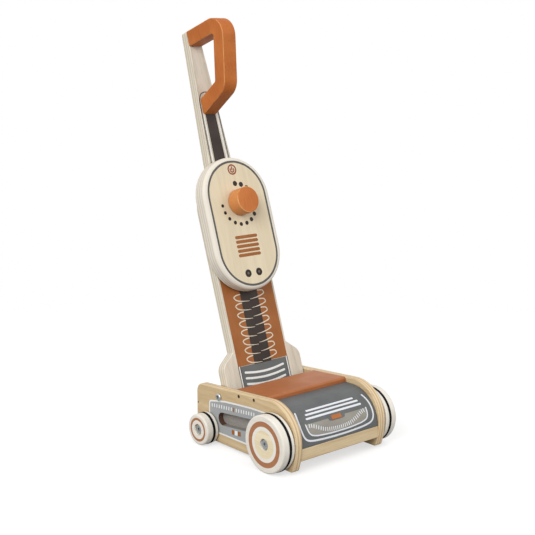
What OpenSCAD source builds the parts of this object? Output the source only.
// Push-along toy vacuum cleaner in painted and natural wood.
// The toy faces -Y, +Z is up, and left is -X as seen from the front.
// The origin is on the floor, in the middle of the toy's width and depth.

/* [Body] */
// Gap between the two side panels
inner_w = 145; // [125:1:190]
// Thickness of each side panel
panel_t = 12; // [10:0.5:18]
// Height of the panels' lower edge above the floor
panel_clear = 4; // [2:0.5:8]
// From the front axle back to the panels' rear edge
panel_rear_reach = 174; // [168:1:220]
// From the front axle forward to the panels' front edge
panel_front_reach = 39; // [36:0.5:48]
// Height of the panels' top edge at the rear
panel_rear_h = 81; // [79:1:95]
// Slope of the panels' top edge, which rises to the front, in degrees
top_slope = 4.2; // [2:0.1:6]
// Radius of the panels' front round
front_round_r = 52; // [44:1:58]
// Radius of the sweep from the front round down to the toe
toe_sweep_r = 100; // [85:1:140]
// Radius of the toe
toe_r = 6; // [4:0.5:9]
// Radius of the panels' rear top corner
rear_top_r = 12; // [6:0.5:16]
// Radius of the panels' rear lower corner
rear_foot_r = 8; // [5:0.5:12]
// Bevel on the edges of the panels and the mast
edge_ease = 1.2; // [0.6:0.1:2]

/* [Side window] */
// From the front axle back to the centre of the window's rear end
window_reach = 114.5; // [105:0.5:120]
// Height of that centre
window_z = 41.3; // [39:0.1:44]
// Length between the window's two end centres
window_span = 64; // [40:1:68]
// Height of the window
window_h = 18.5; // [14:0.5:21]
// Slope of the window, which rises to the front, in degrees
window_tilt = 5.3; // [2:0.1:7]
// Width of the rebate round the window for its pane
rebate_margin = 4.5; // [3:0.5:6]
// Depth of the rebate from the panel's inner face
rebate_d = 3.5; // [2.5:0.1:6]
// Thickness of the pane
pane_t = 3; // [2:0.1:3.4]

/* [Front] */
// Height of the intake gap under the front rail
rail_clear = 18.2; // [15:0.1:24]
// Height of the front rail
rail_h = 17.4; // [12:0.1:24]
// Depth of the front rail
rail_d = 16; // [10:0.5:19]
// Radius of the rail's long edges
rail_edge_r = 1.5; // [0.5:0.1:3]
// Step from the panels' front edge back to the rail's front
rail_setback = 2.8; // [1:0.1:6]
// Height of the cover's flat top
cover_top_h = 84.5; // [82:0.5:87]
// Outer radius of the cover's quarter round
cover_r = 50.6; // [40:0.1:56]
// Thickness of the cover
cover_t = 5; // [3:0.1:8]

/* [Top board] */
// From the panels' rear edge to the top board, along the top edge
top_board_setback = 77.4; // [75:0.1:85]
// Length of the top board along the top edge
top_board_l = 67.7; // [55:0.1:75]
// Thickness of the top board
top_board_t = 10; // [9:0.5:14]
// Radius of the top board's front edge
top_board_nose_r = 3; // [1:0.1:4]
// Distance between the brads that hold the top board
top_brad_pitch = 32.3; // [20:0.1:45]

/* [Back and floor boards] */
// Thickness of the back board
back_t = 6; // [4:0.5:10]
// Height of the back board's lower edge
back_bottom = 20; // [8:0.5:25]
// Height of the back board's top edge
back_top = 68; // [60:0.5:68]
// From the back board's top edge down to its upper brad
back_brad_drop = 15.5; // [10:0.5:17]
// Distance between the back board's two brads
back_brad_pitch = 19; // [12:0.5:20]
// Height of the magnet board's underside
magnet_clear = 16; // [13:0.5:17]
// Thickness of the magnet board
magnet_board_t = 9; // [8:0.5:10]
// Length of the magnet board
magnet_board_l = 98; // [94:1:110]
// From the front rail's back to the magnet board
magnet_board_gap = 9; // [2:0.5:14]
// Depth of the grooves that hold the magnet board
groove_d = 4; // [2:0.5:6]
// Radius of a pickup magnet
magnet_r = 10; // [6:0.5:12]
// Thickness of a pickup magnet
magnet_t = 5; // [2:0.5:6]
// Distance between pickup magnets
magnet_pitch = 46; // [42:0.5:48]
// Magnets across the board
magnet_cols = 3; // [2:1:3]
// Magnets along the board
magnet_rows = 2; // [1:1:2]

/* [Wheels] */
// Radius of a front wheel
front_wheel_r = 39.6; // [36:0.1:42]
// Radius of a rear wheel
rear_wheel_r = 22.4; // [20:0.1:26]
// Distance between the front and rear axles
wheelbase = 143.75; // [136:0.25:150]
// Thickness of a wheel
wheel_t = 20; // [16:0.5:26]
// Radius of a wheel's outer edge
wheel_edge_r = 2.5; // [1:0.1:4]
// Radius of a wheel's inner edge
wheel_back_r = 1.5; // [0.5:0.1:3]
// Width of the tyre band
tyre_w = 4; // [3:0.1:8]
// Depth of the tyre's groove
tyre_d = 2.5; // [1.5:0.1:4]
// How far the tyre stands out of the tread
tyre_proud = 0.5; // [0.3:0.1:1.5]
// From the wheel's inner face to the tyre's middle
tyre_offset = 7.6; // [5.5:0.1:10]
// Radius of the recess for the bolt's head
hub_recess_r = 8; // [7.5:0.1:10]
// Depth of that recess
hub_recess_d = 4.6; // [1:0.1:5]
// Thickness of the washer behind a wheel
washer_t = 1.6; // [1:0.1:3]
// Radius of that washer
washer_r = 9; // [6:0.1:12]

/* [Bolts and screws] */
// Radius of the shoulder that a wheel turns on
shoulder_r = 4; // [3.5:0.1:5]
// Radius of a wheel bolt's head
bolt_head_r = 6.8; // [5.5:0.1:7.4]
// Thickness of a wheel bolt's head
bolt_head_t = 2.6; // [1.5:0.1:4]
// Radius of the edges of that head
bolt_head_edge_r = 0.8; // [0.4:0.1:1]
// Radius of the bolts' threads
thread_r = 3; // [2:0.1:3.4]
// Radius of a threaded insert
insert_r = 5; // [4.5:0.1:7]
// Size across the corners of the hex sockets
socket_w = 5.8; // [4:0.1:6.5]
// Depth of the hex sockets
socket_d = 1.6; // [1:0.1:1.9]
// Radius of a mast bolt's head
mast_bolt_head_r = 5.2; // [4:0.1:7]
// Thickness of a mast bolt's head
mast_bolt_head_t = 3; // [2:0.1:5]
// How far a mast bolt goes into the mast
mast_bolt_grip = 36; // [28:0.5:42]
// From the mast's edge to its cross nut
cross_nut_inset = 22; // [12:0.5:26]
// Radius of a cross nut
cross_nut_r = 5; // [4.2:0.1:6]
// Length of a cross nut
cross_nut_l = 11; // [9:0.5:13]
// Radius of a wood screw
screw_r = 2; // [1.5:0.1:2.5]
// Radius of a wood screw's head
screw_head_r = 4; // [3:0.1:5]
// Height of a wood screw's countersunk head
screw_head_h = 2.4; // [1.5:0.1:4]
// How far a wood screw bites into what it holds
screw_bite = 12; // [8:0.5:14]
// Radius of a brad
brad_r = 0.8; // [0.6:0.1:1.2]
// How far a brad's head is set below the surface
brad_set = 1.5; // [0.5:0.1:3]
// Radius of the hole over a brad's head
brad_hole_r = 1.7; // [1.3:0.1:2.2]
// How far a brad bites into the board
brad_bite = 14; // [8:0.5:20]

/* [Mast] */
// From the panels' rear edge forward to the mast bolts
mast_reach = 52; // [46:0.1:56]
// Height of the mast bolts
mast_z = 71.9; // [69:0.1:73]
// Lean of the mast, in degrees
mast_tilt = 18.7; // [12:0.1:20]
// Thickness of the mast
mast_t = 15; // [14:0.5:18]
// Length of the mast above its bolts
mast_above = 531.7; // [500:0.1:560]
// Length of the mast below its bolts
mast_tail = 20; // [14:0.5:21]
// Width of the mast's lower part
mast_w = 100.8; // [90:0.1:110]
// From the bolts to the top of the mast's lower part
mast_lower_top = 290; // [262:1:300]
// Radius of the top corners of the lower part
mast_lower_r = 26; // [10:1:30]
// Width at the foot of the mast's upper part
neck_w = 50; // [44:0.1:56]
// From the bolts to the foot of the upper part
neck_u = 270; // [255:1:280]
// Width of the mast's top
mast_top_w = 22; // [18:0.1:26]
// Radius of the mast's top corners
mast_top_r = 5; // [2:0.1:8]
// Radius of the shoulders at the mast's foot
shoulder_round_r = 16; // [10:0.5:20]
// From the bolts up to the centre of that round
shoulder_u = 31.7; // [26:0.1:36]
// Turn of the shoulder's round before its straight slope, in degrees
shoulder_turn = 52; // [45:1:60]
// Height of the batten behind the mast's foot
batten_h = 30; // [24:0.5:36]
// Thickness of that batten
batten_t = 18; // [12:0.5:22]
// Distance between the batten's screws
batten_screw_pitch = 60; // [40:1:80]

/* [Control panel] */
// From the mast bolts to the middle of the control panel
panel_u = 236.5; // [225:0.1:245]
// Width of the control panel
dash_w = 121.7; // [112:0.1:130]
// Height of the control panel
dash_h = 195.7; // [185:0.1:205]
// Thickness of the control panel
dash_t = 22; // [19:0.5:26]
// Radius of the control panel's front edge
dash_front_r = 6; // [2:0.1:8]
// Radius of the control panel's rear edge
dash_back_r = 4; // [2:0.1:6]
// Width between the screws that hold the control panel
dash_screw_w = 64; // [50:1:76]
// Height between those screws
dash_screw_h = 90; // [70:1:94]
// From the middle of the control panel up to the knob
knob_rise = 29.7; // [20:0.1:38]
// Radius of the knob
knob_r = 19.1; // [14:0.1:24]
// Height of the knob
knob_h = 22.4; // [18:0.1:28]
// Radius of the knob's front edge
knob_edge_r = 1.2; // [1:0.1:4]
// Radius of the knob's spindle
spindle_r = 4; // [3:0.1:5]
// Radius of the spindle's head
spindle_head_r = 7; // [6:0.1:8]
// Thickness of the spindle's head
spindle_head_t = 3.5; // [2:0.1:4]
// How far the spindle reaches into the knob
spindle_bite = 15; // [8:0.5:16]
// Radius of the pocket for the spindle's head
pocket_r = 9.5; // [9:0.1:12]
// Depth of that pocket
pocket_d = 7; // [6.4:0.1:9]
// Thickness of the spindle's washer
spindle_washer_t = 1.2; // [0.8:0.1:1.6]
// Radius of the spindle's washer
spindle_washer_r = 8.6; // [7.5:0.1:9]

/* [Handle] */
// Width of the handle's bar, seen from the side
bar_w = 22.5; // [18:0.1:26]
// Thickness of the handle's bar, across the toy
bar_t = 24; // [18:0.1:28]
// Radius of the bar's long edges
bar_edge_r = 1.5; // [1:0.1:5]
// Radius inside the handle's bends
bend_r = 4; // [2:0.1:8]
// Length of the upper arm before its bend
arm_l = 53.7; // [48:0.1:62]
// Length of the grip between its bends
grip_l = 60.8; // [54:0.1:70]
// Turn of the upper bend, in degrees
upper_turn = 105.8; // [98:0.1:108]
// Turn of the lower bend, in degrees
lower_turn = 55.6; // [50:0.1:60]
// From the mast's top end down to the upper arm
handle_drop = 1.5; // [0.5:0.1:6]

/* [Clearances] */
// Clearance round a turning shaft
run_clear = 0.08; // [0.03:0.01:0.1]
// Gap at the faces of a turning piece
face_gap = 0.3; // [0.2:0.05:0.6]
// Clearance round a fixed fastener
seat_fit = 0.02; // [0.01:0.01:0.1]
// Gap at each side of a board that slides between the panels
side_gap = 0.1; // [0.05:0.05:0.3]
// Clearance of the window panes and the magnet board in their seats
seat_clear = 0.15; // [0.05:0.05:0.3]
// Clearance round a bolt's shank
shank_clear = 0.2; // [0.1:0.05:0.4]

/* [Hidden] */
$fn = 64;
// Overrun of every cut past the face that it opens
cut = 1;
round_steps = 24;
corner_steps = 8;
bend_steps = 12;

// Depth of the mast bolts and of the whole toy behind the front axle, and the axles' places
mast_back = panel_rear_reach - mast_reach;
mast_rear = mast_back + (mast_above - edge_ease) * sin(mast_tilt) + mast_t / 2 * cos(mast_tilt);
front_axle_z = front_wheel_r + tyre_proud;
rear_axle_z = rear_wheel_r + tyre_proud;
axle_y = (front_axle_z - mast_rear) / 2;
rear_axle_y = axle_y + wheelbase;

// The side panels' outline
panel_rear_y = axle_y + panel_rear_reach;
panel_front_y = axle_y - panel_front_reach;
panel_in_x = inner_w / 2;
panel_out_x = panel_in_x + panel_t;
rear_top_c = [
    panel_rear_y - rear_top_r,
    panel_rear_h - rear_top_r * (1 - sin(top_slope)) / cos(top_slope)
];
front_round_y = panel_front_y + front_round_r;
front_round_rise = (front_round_y - panel_rear_y) * sin(top_slope);
front_round_c = [front_round_y, panel_rear_h - (front_round_r + front_round_rise) / cos(top_slope)];
toe_sweep_c = [panel_front_y + toe_sweep_r, front_round_c[1]];
toe_turn = asin((front_round_c[1] - panel_clear - toe_r) / (toe_sweep_r - toe_r));
toe_c = [toe_sweep_c[0] - (toe_sweep_r - toe_r) * cos(toe_turn), panel_clear + toe_r];
rear_foot_c = [panel_rear_y - rear_foot_r, panel_clear + rear_foot_r];

// The front cover and rail
rail_front_y = panel_front_y + rail_setback;
rail_top = rail_clear + rail_h;
cover_c = [rail_front_y + cover_r, cover_top_h - cover_r];

// The boards inside
magnet_front_y = rail_front_y + rail_d + magnet_board_gap;
brad_l = panel_t - brad_set + brad_bite;
top_brad_y = [for (end = [-1, 1]) end * top_brad_pitch / 2 - top_board_setback - top_board_l / 2];
back_brad_z = [back_top - back_brad_drop, back_top - back_brad_drop - back_brad_pitch];

// The wheels' places along their axles, from a panel's outer face
wheel_start = washer_t + face_gap;
wheel_end = wheel_start + wheel_t;
head_start = wheel_end - hub_recess_d + face_gap;

// The mast and what it carries
mast_y = axle_y + mast_back;
mast_foot_w = inner_w - 2 * side_gap;
dash_r = dash_w / 2;
dash_straight = dash_h - dash_w;
washer_start = pocket_d - seat_clear - spindle_washer_t;
spindle_head_start = washer_start - seat_clear - spindle_head_t;
knob_start = dash_t + face_gap;

// The handle's path: places are out from the mast's front and up from its bolts
path_r = bend_r + bar_w / 2;
handle_u = mast_above - handle_drop - bar_w / 2;
whole_turn = upper_turn + lower_turn;
lower_arm_out = arm_l + grip_l * cos(upper_turn) + path_r * sin(whole_turn);
lower_arm_reach = -lower_arm_out / cos(whole_turn);
foot_u = handle_u - path_r - grip_l * sin(upper_turn) + path_r * cos(whole_turn)
    - lower_arm_reach * sin(whole_turn);

orange = [0.77, 0.42, 0.21];
birch = [0.85, 0.73, 0.52];
pale_birch = [0.88, 0.83, 0.75];
graphite = [0.42, 0.43, 0.42];
cream = [0.91, 0.89, 0.85];
steel = [0.66, 0.68, 0.71];
rubber = [0.06, 0.06, 0.06];

// Points of an arc about a centre, from one angle to another
function arc(c, r, from, to, steps) =
    [for (i = [0:steps]) let (a = from + (to - from) * i / steps) c + r * [cos(a), sin(a)]];

// The same without its first point, where it goes on from another curve
function arc_on(c, r, from, to, steps) =
    [for (i = [1:steps]) let (a = from + (to - from) * i / steps) c + r * [cos(a), sin(a)]];

// A side panel's outline in Y and Z, drawn in by an inset
function panel_outline(inset) = concat(
    arc(rear_top_c, rear_top_r - inset, 0, 90 - top_slope, corner_steps),
    arc(front_round_c, front_round_r - inset, 90 - top_slope, 180, round_steps),
    arc_on(toe_sweep_c, toe_sweep_r - inset, 180, 180 + toe_turn, corner_steps),
    arc_on(toe_c, toe_r - inset, 180 + toe_turn, 270, corner_steps),
    arc(rear_foot_c, rear_foot_r - inset, 270, 360, corner_steps)
);

// One half of the mast's bell-shaped foot, drawn in by an inset
function bell_half(inset) = let (
    c = [mast_foot_w / 2 - shoulder_round_r, shoulder_u],
    r = shoulder_round_r - inset,
    tangent = c + r * [cos(shoulder_turn), sin(shoulder_turn)],
    slope_l = (tangent[0] - neck_w / 2) / sin(shoulder_turn),
    slope_end = tangent + slope_l * [-sin(shoulder_turn), cos(shoulder_turn)]
) concat(
    [[0, inset - mast_tail], [mast_foot_w / 2 - inset, inset - mast_tail]],
    arc(c, r, 0, shoulder_turn, corner_steps),
    [slope_end, [0, slope_end[1]]]
);

// A shape in Y and Z, extruded across the toy about its middle
module across(w) {
    rotate([90, 0, 90]) linear_extrude(w, center = true) children();
}

// A rod along X from one place to another
module rod_x(from, to, r) {
    translate([from, 0, 0]) rotate([0, 90, 0]) cylinder(h = to - from, r = r);
}

// A plain rectangle with four round corners, centred
module round_rect(w, h, r) {
    square([w - 2 * r, h], center = true);
    square([w, h - 2 * r], center = true);
    for (x = [-1, 1], y = [-1, 1]) translate([x * (w / 2 - r), y * (h / 2 - r)]) circle(r);
}

// A frame on the panels' top edge: the rear end is zero and +Y runs down to the rear
module deck_frame() {
    translate([0, panel_rear_y, panel_rear_h]) rotate([-top_slope, 0, 0]) children();
}

// The same frame for shapes in Y and Z
module deck_frame_flat() {
    translate([panel_rear_y, panel_rear_h]) rotate(-top_slope) children();
}

// A frame at the mast bolts: +Z runs up the mast and -Y is its front
module mast_frame() {
    translate([0, mast_y, mast_z]) rotate([-mast_tilt, 0, 0]) children();
}

// A frame on the mast's front, at a place up the mast: +Y runs up and +Z is outwards
module mast_front_frame(u) {
    mast_frame() translate([0, -mast_t / 2, u]) rotate([90, 0, 0]) children();
}

// A frame on the mast's back, at a place up the mast: +Z is into the mast
module mast_back_frame(u) {
    mast_frame() translate([0, mast_t / 2, u]) rotate([90, 0, 0]) children();
}

// A frame on an axle, with +Z outwards from the panel's outer face
module axle_frame(y, z) {
    translate([panel_out_x, y, z]) rotate([0, 90, 0]) children();
}

// Its mirror image on the left side
module left_side() {
    mirror([1, 0, 0]) children();
}

// Both ways of placing a piece
module both_sides() {
    children();
    left_side() children();
}

// A countersunk wood screw with its head at zero, or with a clearance its hole
module wood_screw(l, clear) {
    cylinder(h = l + clear, r = screw_r + clear);
    cylinder(h = screw_head_h, r1 = screw_head_r + clear, r2 = screw_r + clear);
}

// A round-ended slot along the window's slope, in the right panel
module window_slot(r, from, to) {
    translate([0, axle_y + window_reach, window_z]) rotate([-window_tilt, 0, 0]) {
        for (end = [0, 1]) translate([0, -end * window_span, 0]) rod_x(from, to, r);
        translate([from, -window_span, -r]) cube([to - from, window_span, 2 * r]);
    }
}

// A brad's hole through the right panel: its shank and the set hole over its head
module brad_bore() {
    rod_x(panel_in_x - cut, panel_out_x, brad_r + seat_fit);
    rod_x(panel_out_x - brad_set, panel_out_x + cut, brad_hole_r);
}

// What is drawn at every brad's place on the right side
module at_brads() {
    at_top_brads() children();
    at_back_brads() children();
}

module at_top_brads() {
    deck_frame() for (y = top_brad_y) translate([0, y, -top_board_t / 2]) children();
}

module at_back_brads() {
    for (z = back_brad_z) translate([0, panel_rear_y - back_t / 2, z]) children();
}

// A brad's hole in the board that it holds
module brad_pilot() {
    rod_x(panel_in_x - brad_bite - seat_clear, panel_in_x + cut, brad_r + seat_fit);
}

// A groove in the right panel for the magnet board
module magnet_groove() {
    translate([panel_in_x - cut, magnet_front_y - seat_clear, magnet_clear])
        cube([groove_d + cut, magnet_board_l + 2 * seat_clear, magnet_board_t + seat_clear]);
}

module side_panel() {
    difference() {
        translate([panel_in_x + panel_t / 2, 0, 0]) hull() {
            across(panel_t - 2 * edge_ease) polygon(panel_outline(0));
            across(panel_t) polygon(panel_outline(edge_ease));
        }
        window_slot(window_h / 2, panel_in_x - cut, panel_out_x + cut);
        window_slot(window_h / 2 + rebate_margin, panel_in_x - cut, panel_in_x + rebate_d);
        magnet_groove();
        at_brads() brad_bore();
        translate([0, axle_y, front_axle_z])
            rod_x(panel_in_x - cut, panel_out_x + cut, insert_r + seat_fit);
        translate([0, rear_axle_y, rear_axle_z])
            rod_x(panel_in_x - cut, panel_out_x + cut, insert_r + seat_fit);
        translate([0, mast_y, mast_z])
            rod_x(panel_in_x - cut, panel_out_x + cut, thread_r + shank_clear);
    }
}

module left_side_panel() {
    color(birch) left_side() side_panel();
}

module right_side_panel() {
    color(birch) side_panel();
}

module window_pane() {
    window_slot(
        window_h / 2 + rebate_margin - seat_clear,
        panel_in_x + rebate_d - pane_t,
        panel_in_x + rebate_d
    );
}

module left_window() {
    color([0.45, 0.42, 0.4, 0.6]) left_side() window_pane();
}

module right_window() {
    color([0.45, 0.42, 0.4, 0.6]) window_pane();
}

// A sheet bent over a quarter round, from the front rail up to the top board
module front_cover() {
    color(graphite) across(inner_w) difference() {
        union() {
            intersection() {
                translate(cover_c) difference() {
                    circle(cover_r);
                    circle(cover_r - cover_t);
                }
                translate([rail_front_y - cut, rail_top])
                    square([cover_r + cut, cover_top_h - rail_top + cut]);
            }
            translate([cover_c[0], cover_top_h - cover_t]) square([top_board_l, cover_t]);
        }
        deck_frame_flat() translate([-top_board_setback - top_board_l, -panel_rear_h])
            square([top_board_setback + top_board_l, panel_rear_h + cut]);
    }
}

module front_rail() {
    color(birch) across(inner_w)
        translate([rail_front_y + rail_d / 2, rail_clear + rail_h / 2])
            round_rect(rail_d, rail_h, rail_edge_r);
}

// A flat board between the panels, with a round nose over the cover's edge
module top_board() {
    front = -top_board_setback - top_board_l;
    color(orange) difference() {
        across(inner_w) deck_frame_flat() {
            translate([front, -top_board_t]) square([top_board_l, top_board_t - top_board_nose_r]);
            translate([front + top_board_nose_r, -top_board_t])
                square([top_board_l - top_board_nose_r, top_board_t]);
            translate([front + top_board_nose_r, -top_board_nose_r]) circle(top_board_nose_r);
        }
        both_sides() at_top_brads() brad_pilot();
    }
}

module back_board() {
    color(birch) difference() {
        across(inner_w) translate([panel_rear_y - back_t, back_bottom])
            square([back_t, back_top - back_bottom]);
        both_sides() at_back_brads() brad_pilot();
    }
}

// Where the pickup magnets sit under the magnet board
module at_magnets() {
    middle_y = magnet_front_y + magnet_board_l / 2;
    for (i = [0:magnet_cols - 1], j = [0:magnet_rows - 1])
        translate([
            (i - (magnet_cols - 1) / 2) * magnet_pitch,
            middle_y + (j - (magnet_rows - 1) / 2) * magnet_pitch,
            magnet_clear
        ]) children();
}

// A floor board that sits in the panels' grooves, with pockets for the magnets
module magnet_board() {
    w = inner_w + 2 * (groove_d - seat_clear);
    color(birch) difference() {
        translate([-w / 2, magnet_front_y, magnet_clear]) cube([w, magnet_board_l, magnet_board_t]);
        at_magnets() translate([0, 0, -cut]) cylinder(h = magnet_t + cut, r = magnet_r + seat_fit);
    }
}

module pickup_magnets() {
    color(steel) at_magnets() cylinder(h = magnet_t, r = magnet_r);
}

module side_brads() {
    color(steel) both_sides() at_brads()
        rod_x(panel_out_x - brad_set - brad_l, panel_out_x - brad_set, brad_r);
}

// A flat shape in the mast's own plane, as a board of some thickness
module mast_slab(t) {
    rotate([90, 0, 0]) linear_extrude(t, center = true) children();
}

// The three convex outlines that make up the mast, drawn in by an inset
module mast_lower(inset) {
    translate([inset - mast_w / 2, inset - mast_tail])
        square([mast_w - 2 * inset, mast_lower_top + mast_tail - mast_lower_r - inset]);
    for (x = [-1, 1])
        translate([x * (mast_w / 2 - mast_lower_r), mast_lower_top - mast_lower_r])
            circle(mast_lower_r - inset, $fn = 32);
}

module mast_bell(inset) {
    polygon(bell_half(inset));
    mirror([1, 0]) polygon(bell_half(inset));
}

module mast_upper(inset) {
    translate([inset - neck_w / 2, neck_u]) square([neck_w - 2 * inset, cut]);
    for (x = [-1, 1])
        translate([x * (mast_top_w / 2 - mast_top_r), mast_above - mast_top_r])
            circle(mast_top_r - inset, $fn = 32);
}

// Where the screws go in: from the mast's back into the control panel and the handle
module at_panel_screws() {
    for (x = [-1, 1], u = [-1, 1])
        mast_back_frame(panel_u + u * dash_screw_h / 2)
            translate([x * dash_screw_w / 2, 0, 0]) children();
}

module at_handle_screws() {
    mast_back_frame(handle_u) children();
    mast_back_frame(foot_u) children();
}

// Where the batten's screws go in, from its back
module at_batten_screws() {
    for (x = [-1, 1])
        mast_back_frame(batten_h / 2 - mast_tail)
            translate([x * batten_screw_pitch / 2, 0, -batten_t]) children();
}

// A board with a bell-shaped foot that fills the gap between the panels
module mast() {
    bolt_end = mast_foot_w / 2 - mast_bolt_grip - seat_clear;
    color(pale_birch) difference() {
        mast_frame() {
            hull() {
                mast_slab(mast_t - 2 * edge_ease) mast_lower(0);
                mast_slab(mast_t) mast_lower(edge_ease);
            }
            hull() {
                mast_slab(mast_t - 2 * edge_ease) mast_bell(0);
                mast_slab(mast_t) mast_bell(edge_ease);
            }
            hull() {
                mast_slab(mast_t - 2 * edge_ease) mast_upper(0);
                mast_slab(mast_t) mast_upper(edge_ease);
            }
        }
        both_sides() translate([0, mast_y, mast_z])
            rod_x(bolt_end, panel_in_x, thread_r + shank_clear);
        both_sides() at_cross_nut(cut) cylinder(h = cross_nut_l + cut, r = cross_nut_r + seat_fit);
        at_panel_screws() wood_screw(mast_t + cut, seat_fit);
        at_handle_screws() wood_screw(mast_t + cut, seat_fit);
        at_batten_screws() wood_screw(batten_t + screw_bite, seat_fit);
    }
}

// A block across the body that backs the mast's foot
module mast_batten() {
    color(birch) difference() {
        mast_frame() translate([-mast_foot_w / 2, mast_t / 2, -mast_tail])
            cube([mast_foot_w, batten_t, batten_h]);
        at_batten_screws() wood_screw(batten_t + screw_bite, seat_fit);
    }
}

module batten_screws() {
    color(steel) at_batten_screws() wood_screw(batten_t + screw_bite - seat_clear, 0);
}

// The right cross nut's place, from the mast's front face inwards
module at_cross_nut(overrun) {
    mast_front_frame(0) translate([mast_foot_w / 2 - cross_nut_inset, 0, overrun])
        rotate([180, 0, 0]) children();
}

module hex_socket(top) {
    translate([0, 0, top - socket_d]) cylinder(h = socket_d + cut, d = socket_w, $fn = 6);
}

// A round-headed bolt through the panel into the mast's cross nut
module mast_bolt() {
    tip = side_gap + mast_bolt_grip + panel_t;
    color(steel) axle_frame(mast_y, mast_z) difference() {
        union() {
            rotate_extrude() intersection() {
                translate([0, -mast_bolt_head_t]) round_rect(
                    2 * mast_bolt_head_r, 4 * mast_bolt_head_t, mast_bolt_head_t / 2);
                square([mast_bolt_head_r, mast_bolt_head_t]);
            }
            translate([0, 0, -tip]) cylinder(h = tip, r = thread_r);
        }
        hex_socket(mast_bolt_head_t);
    }
}

module left_mast_bolt() {
    left_side() mast_bolt();
}

module right_mast_bolt() {
    mast_bolt();
}

module mast_cross_nuts() {
    color(steel) difference() {
        both_sides() at_cross_nut(0) cylinder(h = cross_nut_l, r = cross_nut_r);
        translate([0, mast_y, mast_z]) rod_x(-panel_in_x, panel_in_x, thread_r + seat_fit);
    }
}

// Half of a plate's section, out from its middle, with round front and rear edges
module plate_half(half_w, t, front_r, back_r) {
    translate([0, back_r]) square([half_w, t - front_r - back_r]);
    square([half_w - back_r, t - front_r]);
    translate([0, back_r]) square([half_w - front_r, t - back_r]);
    translate([half_w - front_r, t - front_r]) circle(front_r);
    translate([half_w - back_r, back_r]) circle(back_r);
}

// A capsule-shaped block with round edges, bored for the knob's spindle
module control_panel() {
    color(pale_birch) difference() {
        mast_front_frame(panel_u) {
            rotate([90, 0, 0]) linear_extrude(dash_straight, center = true) {
                plate_half(dash_r, dash_t, dash_front_r, dash_back_r);
                mirror([1, 0]) plate_half(dash_r, dash_t, dash_front_r, dash_back_r);
            }
            for (end = [0, 1]) rotate([0, 0, 180 * end]) translate([0, dash_straight / 2, 0])
                rotate_extrude(angle = 180) intersection() {
                    plate_half(dash_r, dash_t, dash_front_r, dash_back_r);
                    square([dash_r, dash_t]);
                }
        }
        knob_frame() translate([0, 0, -cut]) cylinder(h = dash_t + 2 * cut, r = spindle_r + run_clear);
        knob_frame() translate([0, 0, -cut]) cylinder(h = pocket_d + cut, r = pocket_r);
        at_panel_screws() wood_screw(mast_t + screw_bite, seat_fit);
    }
}

module panel_screws() {
    color(steel) at_panel_screws() wood_screw(mast_t + screw_bite - seat_clear, 0);
}

// A frame on the mast's front under the knob
module knob_frame() {
    mast_front_frame(panel_u + knob_rise) children();
}

module knob() {
    color(orange) knob_frame() translate([0, 0, knob_start]) difference() {
        rotate_extrude() intersection() {
            plate_half(knob_r, knob_h, knob_edge_r, knob_edge_r / 2);
            square([knob_r, knob_h]);
        }
        translate([0, 0, -cut]) cylinder(h = spindle_bite + cut, r = spindle_r + seat_fit);
    }
}

// A headed pin that is fixed in the knob and turns in the control panel
module knob_spindle() {
    color(steel) knob_frame() {
        translate([0, 0, spindle_head_start]) cylinder(h = spindle_head_t, r = spindle_head_r);
        translate([0, 0, spindle_head_start])
            cylinder(h = knob_start + spindle_bite - seat_clear - spindle_head_start, r = spindle_r);
    }
}

module knob_washer() {
    color(steel) knob_frame() translate([0, 0, washer_start]) difference() {
        cylinder(h = spindle_washer_t, r = spindle_washer_r);
        translate([0, 0, -cut]) cylinder(h = spindle_washer_t + 2 * cut, r = spindle_r + run_clear);
    }
}

// The handle's bar in section: across its width in the bend's plane, then across the toy
function bar_section() = let (
    w = bar_w / 2 - bar_edge_r,
    t = bar_t / 2 - bar_edge_r
) concat(
    arc([w, t], bar_edge_r, 0, 90, corner_steps / 2),
    arc([-w, t], bar_edge_r, 90, 180, corner_steps / 2),
    arc([-w, -t], bar_edge_r, 180, 270, corner_steps / 2),
    arc([w, -t], bar_edge_r, 270, 360, corner_steps / 2)
);

// The section set on the path at a place and a turn
function bar_ring(p, turn) =
    [for (q = bar_section()) [q[1], p[1] + q[0] * cos(turn), p[0] + q[0] * sin(turn)]];

// The section carried on along the lower arm until it meets the mast
function foot_ring(p, turn) =
    [for (q = bar_section()) let (out = p[0] + q[0] * sin(turn), up = p[1] + q[0] * cos(turn))
        [q[1], up + out * tan(turn), 0]];

// Rings round one bend, from one turn to another
function bend_rings(c, from, to) =
    [for (i = [0:bend_steps]) let (a = from + (to - from) * i / bend_steps)
        bar_ring(c + path_r * [sin(a), cos(a)], a)];

// A bar bent to a D, swept along its path, with its lower foot cut to lie on the mast
module handle() {
    upper_c = [arm_l, handle_u - path_r];
    lower_c = upper_c + grip_l * [cos(upper_turn), -sin(upper_turn)];
    lower_end = lower_c + path_r * [sin(whole_turn), cos(whole_turn)];
    rings = concat(
        [bar_ring([0, handle_u], 0)],
        bend_rings(upper_c, 0, upper_turn),
        bend_rings(lower_c, upper_turn, whole_turn),
        [foot_ring(lower_end, whole_turn)]
    );
    m = len(rings[0]);
    last = len(rings) - 1;
    sides = [for (i = [0:last - 1], k = [0:m - 1]) let (a = i * m + k, b = i * m + (k + 1) % m)
        each [[a, b, b + m], [a, b + m, a + m]]];
    caps = [[for (k = [0:m - 1]) m - 1 - k], [for (k = [0:m - 1]) last * m + k]];
    color(orange) difference() {
        mast_front_frame(0) polyhedron([for (ring = rings) each ring], concat(sides, caps));
        at_handle_screws() wood_screw(mast_t + screw_bite, seat_fit);
    }
}

module handle_screws() {
    color(steel) at_handle_screws() wood_screw(mast_t + screw_bite - seat_clear, 0);
}

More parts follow.
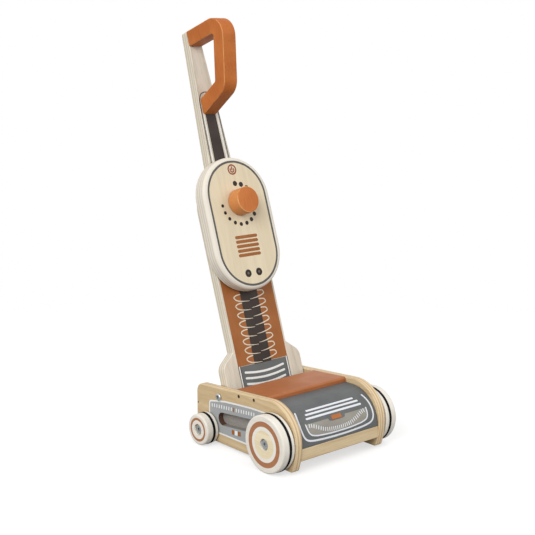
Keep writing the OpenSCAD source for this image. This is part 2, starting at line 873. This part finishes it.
// A turned wheel with a tyre groove and a recess for the bolt's head
module wheel(r) {
    rotate_extrude() difference() {
        intersection() {
            plate_half(r, wheel_t, wheel_edge_r, wheel_back_r);
            translate([shoulder_r + run_clear, 0]) square([r, wheel_t]);
        }
        translate([r - tyre_d, tyre_offset - tyre_w / 2]) square([tyre_d + cut, tyre_w]);
        translate([0, wheel_t - hub_recess_d]) square([hub_recess_r, hub_recess_d + cut]);
    }
}

// A rubber band with a crowned tread, as deep as its groove
module tyre(r) {
    tread_r = tyre_proud / 2;
    rotate_extrude() translate([r - tyre_d, tyre_offset - tyre_w / 2]) {
        square([tyre_d + tyre_proud - tread_r, tyre_w]);
        translate([0, tread_r]) square([tyre_d + tyre_proud, tyre_w - 2 * tread_r]);
        for (side = [tread_r, tyre_w - tread_r])
            translate([tyre_d + tyre_proud - tread_r, side]) circle(tread_r);
    }
}

// A shoulder bolt that the wheel turns on
module wheel_bolt() {
    difference() {
        rotate_extrude() intersection() {
            union() {
                translate([0, -panel_t]) square([thread_r, panel_t + head_start]);
                square([shoulder_r, head_start + bolt_head_t / 2]);
                translate([0, head_start])
                    plate_half(bolt_head_r, bolt_head_t, bolt_head_edge_r, bolt_head_edge_r);
            }
            translate([0, -panel_t]) square([bolt_head_r, panel_t + head_start + bolt_head_t]);
        }
        hex_socket(head_start + bolt_head_t);
    }
}

module washer() {
    difference() {
        cylinder(h = washer_t, r = washer_r);
        translate([0, 0, -cut]) cylinder(h = washer_t + 2 * cut, r = shoulder_r + seat_fit);
    }
}

module insert() {
    difference() {
        translate([0, 0, -panel_t]) cylinder(h = panel_t, r = insert_r);
        translate([0, 0, -panel_t - cut]) cylinder(h = panel_t + 2 * cut, r = thread_r + seat_fit);
    }
}

module at_front_axle() {
    axle_frame(axle_y, front_axle_z) children();
}

module at_rear_axle() {
    axle_frame(rear_axle_y, rear_axle_z) children();
}

module front_left_wheel() {
    color(cream) left_side() at_front_axle() translate([0, 0, wheel_start]) wheel(front_wheel_r);
}

module front_right_wheel() {
    color(cream) at_front_axle() translate([0, 0, wheel_start]) wheel(front_wheel_r);
}

module rear_left_wheel() {
    color(cream) left_side() at_rear_axle() translate([0, 0, wheel_start]) wheel(rear_wheel_r);
}

module rear_right_wheel() {
    color(cream) at_rear_axle() translate([0, 0, wheel_start]) wheel(rear_wheel_r);
}

module front_left_tyre() {
    color(rubber) left_side() at_front_axle() translate([0, 0, wheel_start]) tyre(front_wheel_r);
}

module front_right_tyre() {
    color(rubber) at_front_axle() translate([0, 0, wheel_start]) tyre(front_wheel_r);
}

module rear_left_tyre() {
    color(rubber) left_side() at_rear_axle() translate([0, 0, wheel_start]) tyre(rear_wheel_r);
}

module rear_right_tyre() {
    color(rubber) at_rear_axle() translate([0, 0, wheel_start]) tyre(rear_wheel_r);
}

module front_left_wheel_bolt() {
    color(steel) left_side() at_front_axle() wheel_bolt();
}

module front_right_wheel_bolt() {
    color(steel) at_front_axle() wheel_bolt();
}

module rear_left_wheel_bolt() {
    color(steel) left_side() at_rear_axle() wheel_bolt();
}

module rear_right_wheel_bolt() {
    color(steel) at_rear_axle() wheel_bolt();
}

module front_left_washer() {
    color(steel) left_side() at_front_axle() washer();
}

module front_right_washer() {
    color(steel) at_front_axle() washer();
}

module rear_left_washer() {
    color(steel) left_side() at_rear_axle() washer();
}

module rear_right_washer() {
    color(steel) at_rear_axle() washer();
}

module wheel_inserts() {
    color(steel) both_sides() {
        at_front_axle() insert();
        at_rear_axle() insert();
    }
}

left_side_panel();
right_side_panel();
left_window();
right_window();
front_cover();
front_rail();
top_board();
back_board();
magnet_board();
pickup_magnets();
side_brads();
mast();
mast_batten();
batten_screws();
left_mast_bolt();
right_mast_bolt();
mast_cross_nuts();
control_panel();
panel_screws();
knob();
knob_spindle();
knob_washer();
handle();
handle_screws();
front_left_wheel();
front_right_wheel();
rear_left_wheel();
rear_right_wheel();
front_left_tyre();
front_right_tyre();
rear_left_tyre();
rear_right_tyre();
front_left_wheel_bolt();
front_right_wheel_bolt();
rear_left_wheel_bolt();
rear_right_wheel_bolt();
front_left_washer();
front_right_washer();
rear_left_washer();
rear_right_washer();
wheel_inserts();
